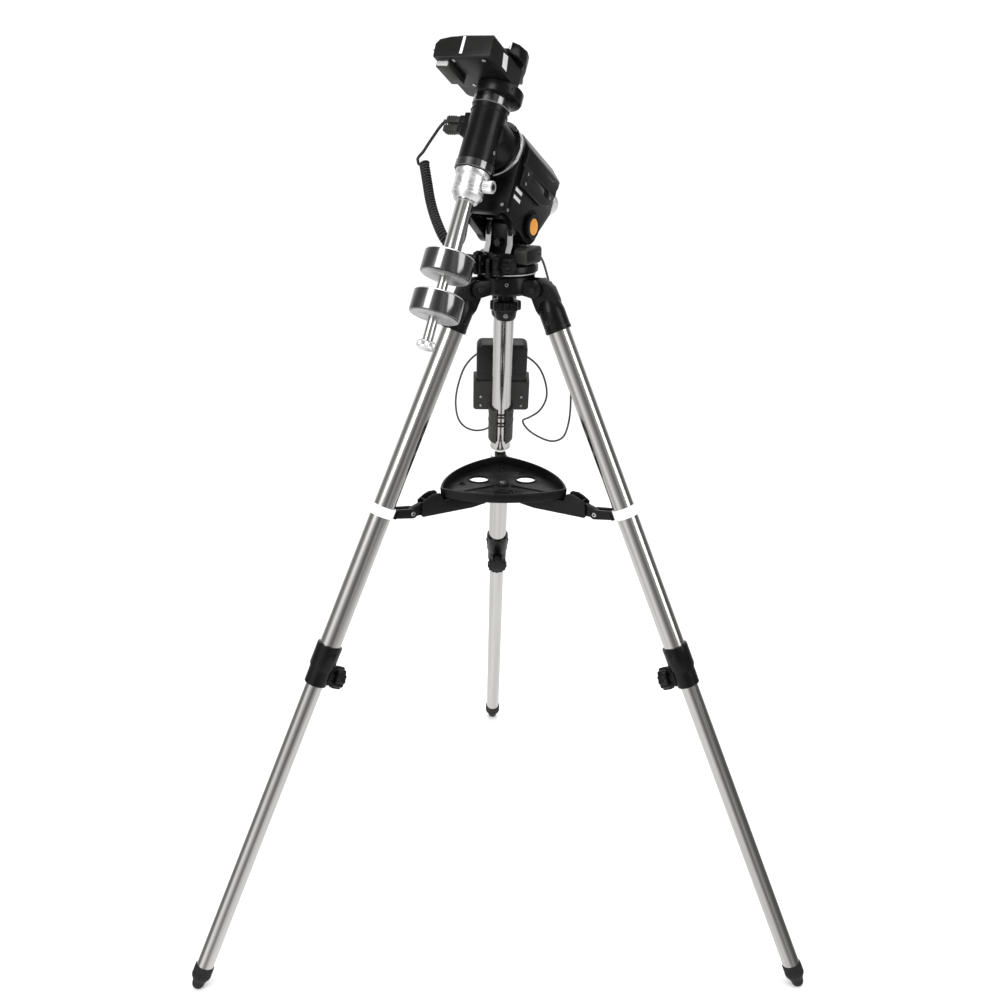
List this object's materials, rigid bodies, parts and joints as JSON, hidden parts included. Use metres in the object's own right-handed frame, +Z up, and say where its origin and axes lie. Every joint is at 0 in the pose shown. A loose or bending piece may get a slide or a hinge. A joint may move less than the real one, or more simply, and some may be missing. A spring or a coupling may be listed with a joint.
{
  "type": "equatorial telescope mount",
  "caption": "Motorised German equatorial telescope mount head on an extended steel tripod, with counterweights, brace, accessory tray and a hand control clipped to the rear leg.",
  "frame": {"origin": "middle of the footprint, on the ground the three feet stand on, without the cords", "axes": "+Z up, -Y towards the front, where the two front legs stand either side; +Y along the rear leg; +X to the right"},
  "size_m": [1.116, 0.9722, 1.6191],
  "materials": {
    "casting": "satin",
    "plastic": "matte",
    "steel": "polished",
    "chrome": "polished",
    "aluminium": "satin",
    "orange_cap": "satin",
    "rubber": "matte"
  },
  "bodies": {
    "tripod_head": {"tripod_head": "casting", "azimuth_base": "aluminium"},
    "centre_knob": {"centre_bolt_knob": "plastic"},
    "leg_left": {"leg_socket_left": "casting", "upper_tube_left": "steel", "leg_lock_left": "casting", "leg_band_left": "aluminium"},
    "foot_left": {"lower_leg_left": "steel"},
    "lock_left": {"lock_knob_left": "plastic"},
    "brace_left": {"brace_arm_left": "plastic"},
    "leg_right": {"leg_socket_right": "casting", "upper_tube_right": "steel", "leg_lock_right": "casting", "leg_band_right": "aluminium"},
    "foot_right": {"lower_leg_right": "steel"},
    "lock_right": {"lock_knob_right": "plastic"},
    "brace_right": {"brace_arm_right": "plastic"},
    "leg_rear": {"leg_socket_rear": "casting", "upper_tube_rear": "steel", "leg_lock_rear": "casting", "leg_band_rear": "aluminium", "hand_control_holder": "plastic", "hand_control_cord": "rubber"},
    "foot_rear": {"lower_leg_rear": "steel"},
    "lock_rear": {"lock_knob_rear": "plastic"},
    "brace_rear": {"brace_arm_rear": "plastic"},
    "hub": {"brace_hub": "plastic"},
    "tray": {"accessory_tray": "plastic"},
    "mount_base": {"fork": "casting", "panel_box": "plastic", "latitude_bolt": "orange_cap"},
    "azimuth_knob_east": {"azimuth_knob_east": "plastic"},
    "azimuth_knob_west": {"azimuth_knob_west": "plastic"},
    "altitude_screw": {"altitude_bolt": "steel"},
    "polar_housing": {"ra_housing": "casting", "ra_motor_cover": "plastic", "dec_cord_tail": "rubber"},
    "ra_clutch": {"ra_clutch_lever": "plastic"},
    "polar_cap": {"polar_cap": "aluminium"},
    "dec_body": {"ra_shaft": "steel", "dec_housing": "casting", "dec_motor_cover": "plastic", "dec_plug": "plastic", "dec_end_collar": "aluminium", "counterweight_shaft": "steel", "dec_cord_lead": "rubber", "dec_cord_coil": "rubber"},
    "dec_clutch": {"dec_clutch_knob": "aluminium"},
    "weight_upper": {"counterweight_upper": "chrome"},
    "weight_upper_screw": {"weight_screw_upper": "plastic"},
    "weight_lower": {"counterweight_lower": "chrome"},
    "weight_lower_screw": {"weight_screw_lower": "plastic"},
    "end_cap": {"shaft_end_cap": "aluminium"},
    "saddle_plate": {"dec_shaft": "steel", "saddle": "casting"},
    "jaw": {"saddle_jaw": "aluminium"},
    "jaw_knob": {"saddle_knob": "plastic"},
    "hand_control": {"hand_control": "plastic"},
    "keys": {"keypad": "rubber"}
  },
  "joints": [
    {"name": "centre_knob_turn", "type": "hinge", "parent": "tripod_head", "child": "centre_knob", "pos_m": [0, -0.15649, 1.19], "axis": [0, 0, -1], "continuous": true},
    {"name": "leg_left_fold", "type": "hinge", "parent": "tripod_head", "child": "leg_left", "pos_m": [-0.05369, -0.18749, 1.224], "axis": [0.5, -0.866, 0], "range_deg": [0, 18]},
    {"name": "foot_left_slide", "type": "slide", "parent": "leg_left", "child": "foot_left", "axis": [0.362, 0.209, 0.9084], "range_m": [0, 0.5]},
    {"name": "lock_left_turn", "type": "hinge", "parent": "leg_left", "child": "lock_left", "pos_m": [-0.2999, -0.32964, 0.55777], "axis": [-0.7867, -0.4542, 0.4181], "range_deg": [0, 180]},
    {"name": "brace_left_swing", "type": "hinge", "parent": "leg_left", "child": "brace_left", "pos_m": [-0.16368, -0.25099, 0.841], "axis": [0.5, -0.866, 0], "range_deg": [-1, 65.19]},
    {"name": "leg_right_fold", "type": "hinge", "parent": "tripod_head", "child": "leg_right", "pos_m": [0.05369, -0.18749, 1.224], "axis": [0.5, 0.866, 0], "range_deg": [0, 18]},
    {"name": "foot_right_slide", "type": "slide", "parent": "leg_right", "child": "foot_right", "axis": [-0.362, 0.209, 0.9084], "range_m": [0, 0.5]},
    {"name": "lock_right_turn", "type": "hinge", "parent": "leg_right", "child": "lock_right", "pos_m": [0.2999, -0.32964, 0.55777], "axis": [0.7867, -0.4542, 0.4181], "range_deg": [0, 180]},
    {"name": "brace_right_swing", "type": "hinge", "parent": "leg_right", "child": "brace_right", "pos_m": [0.16368, -0.25099, 0.841], "axis": [0.5, 0.866, 0], "range_deg": [-1, 65.19]},
    {"name": "leg_rear_fold", "type": "hinge", "parent": "tripod_head", "child": "leg_rear", "pos_m": [0, -0.09449, 1.224], "axis": [-1, 0, 0], "range_deg": [0, 18]},
    {"name": "foot_rear_slide", "type": "slide", "parent": "leg_rear", "child": "foot_rear", "axis": [0, -0.4181, 0.9084], "range_m": [0, 0.5]},
    {"name": "lock_rear_turn", "type": "hinge", "parent": "leg_rear", "child": "lock_rear", "pos_m": [0, 0.1898, 0.55777], "axis": [0, 0.9084, 0.4181], "range_deg": [0, 180]},
    {"name": "brace_rear_swing", "type": "hinge", "parent": "leg_rear", "child": "brace_rear", "pos_m": [0, 0.03251, 0.841], "axis": [-1, 0, 0], "range_deg": [-1, 65.19]},
    {"name": "hub_rise", "type": "slide", "parent": "tripod_head", "child": "hub", "axis": [0, 0, 1], "range_m": [-0.001, 0.1213]},
    {"name": "tray_lift_off", "type": "slide", "parent": "tripod_head", "child": "tray", "axis": [0, -0.8, 0.6], "range_m": [-0.001, 0.501]},
    {"name": "azimuth", "type": "hinge", "parent": "tripod_head", "child": "mount_base", "pos_m": [0, -0.15649, 1.25], "axis": [0, 0, 1], "range_deg": [-6, 6]},
    {"name": "azimuth_knob_east_turn", "type": "hinge", "parent": "mount_base", "child": "azimuth_knob_east", "pos_m": [-0.00416, -0.22166, 1.267], "axis": [0.8572, -0.515, 0], "continuous": true},
    {"name": "azimuth_knob_west_turn", "type": "hinge", "parent": "mount_base", "child": "azimuth_knob_west", "pos_m": [-0.05559, -0.19076, 1.267], "axis": [-0.8572, 0.515, 0], "continuous": true},
    {"name": "altitude_screw_turn", "type": "hinge", "parent": "mount_base", "child": "altitude_screw", "pos_m": [-0.01442, -0.18049, 1.299], "axis": [-0.515, -0.8572, 0], "continuous": true},
    {"name": "altitude", "type": "hinge", "parent": "mount_base", "child": "polar_housing", "pos_m": [-0.00061, -0.15751, 1.32541], "axis": [-0.8572, 0.515, 0], "range_deg": [-22, 38]},
    {"name": "ra_clutch_turn", "type": "hinge", "parent": "polar_housing", "child": "ra_clutch", "pos_m": [-0.02269, -0.13601, 1.47014], "axis": [0.2497, 0.4156, 0.8746], "range_deg": [0, 60]},
    {"name": "polar_cap_pull", "type": "slide", "parent": "polar_housing", "child": "polar_cap", "axis": [0.4505, 0.7497, -0.4848], "range_m": [0, 0.04]},
    {"name": "right_ascension", "type": "hinge", "parent": "polar_housing", "child": "dec_body", "pos_m": [-0.0412, -0.22506, 1.472], "axis": [-0.4505, -0.7497, 0.4848], "range_deg": [-100, 100]},
    {"name": "dec_clutch_turn", "type": "hinge", "parent": "dec_body", "child": "dec_clutch", "pos_m": [-0.03353, -0.27831, 1.39678], "axis": [0.8572, -0.515, 0], "range_deg": [0, 90]},
    {"name": "weight_upper_slide", "type": "slide", "parent": "dec_body", "child": "weight_upper", "axis": [0.2497, 0.4156, 0.8746], "range_m": [-0.027, 0]},
    {"name": "weight_upper_screw_turn", "type": "hinge", "parent": "weight_upper", "child": "weight_upper_screw", "pos_m": [-0.07386, -0.27942, 1.25447], "axis": [0.4505, 0.7497, -0.4848], "range_deg": [0, 180]},
    {"name": "weight_lower_slide", "type": "slide", "parent": "dec_body", "child": "weight_lower", "axis": [0.2497, 0.4156, 0.8746], "range_m": [-0.036, 0.027]},
    {"name": "weight_lower_screw_turn", "type": "hinge", "parent": "weight_lower", "child": "weight_lower_screw", "pos_m": [-0.09034, -0.30685, 1.19674], "axis": [0.4505, 0.7497, -0.4848], "range_deg": [0, 180]},
    {"name": "end_cap_pull", "type": "slide", "parent": "dec_body", "child": "end_cap", "axis": [-0.2497, -0.4156, -0.8746], "range_m": [0, 0.03]},
    {"name": "declination", "type": "hinge", "parent": "dec_body", "child": "saddle_plate", "pos_m": [-0.0412, -0.22506, 1.472], "axis": [0.2497, 0.4156, 0.8746], "continuous": true},
    {"name": "jaw_slide", "type": "slide", "parent": "saddle_plate", "child": "jaw", "axis": [-0.8572, 0.515, 0], "range_m": [-0.003, 0.01]},
    {"name": "jaw_knob_turn", "type": "hinge", "parent": "saddle_plate", "child": "jaw_knob", "pos_m": [-0.0507, -0.14379, 1.58473], "axis": [0.8572, -0.515, 0], "continuous": true},
    {"name": "hand_control_lift", "type": "slide", "parent": "leg_rear", "child": "hand_control", "axis": [0, -0.4181, 0.9084], "range_m": [0, 0.1]},
    {"name": "keypad_press", "type": "slide", "parent": "hand_control", "child": "keys", "axis": [0, -0.9084, -0.4181], "range_m": [0, 0.001], "stiffness_N_per_m": 2000}
  ],
  "couplings": [
    {"joint": "leg_right_fold", "follows": "leg_left_fold", "ratio": 1},
    {"joint": "leg_rear_fold", "follows": "leg_left_fold", "ratio": 1},
    {"joint": "brace_left_swing", "follows": "leg_left_fold", "ratio": 3.5664},
    {"joint": "brace_right_swing", "follows": "leg_left_fold", "ratio": 3.5664},
    {"joint": "brace_rear_swing", "follows": "leg_left_fold", "ratio": 3.5664},
    {"joint": "hub_rise", "follows": "leg_left_fold", "m_per_rad": 0.383},
    {"joint": "tray_lift_off", "follows": "leg_left_fold", "m_per_rad": 1.5915}
  ]
}
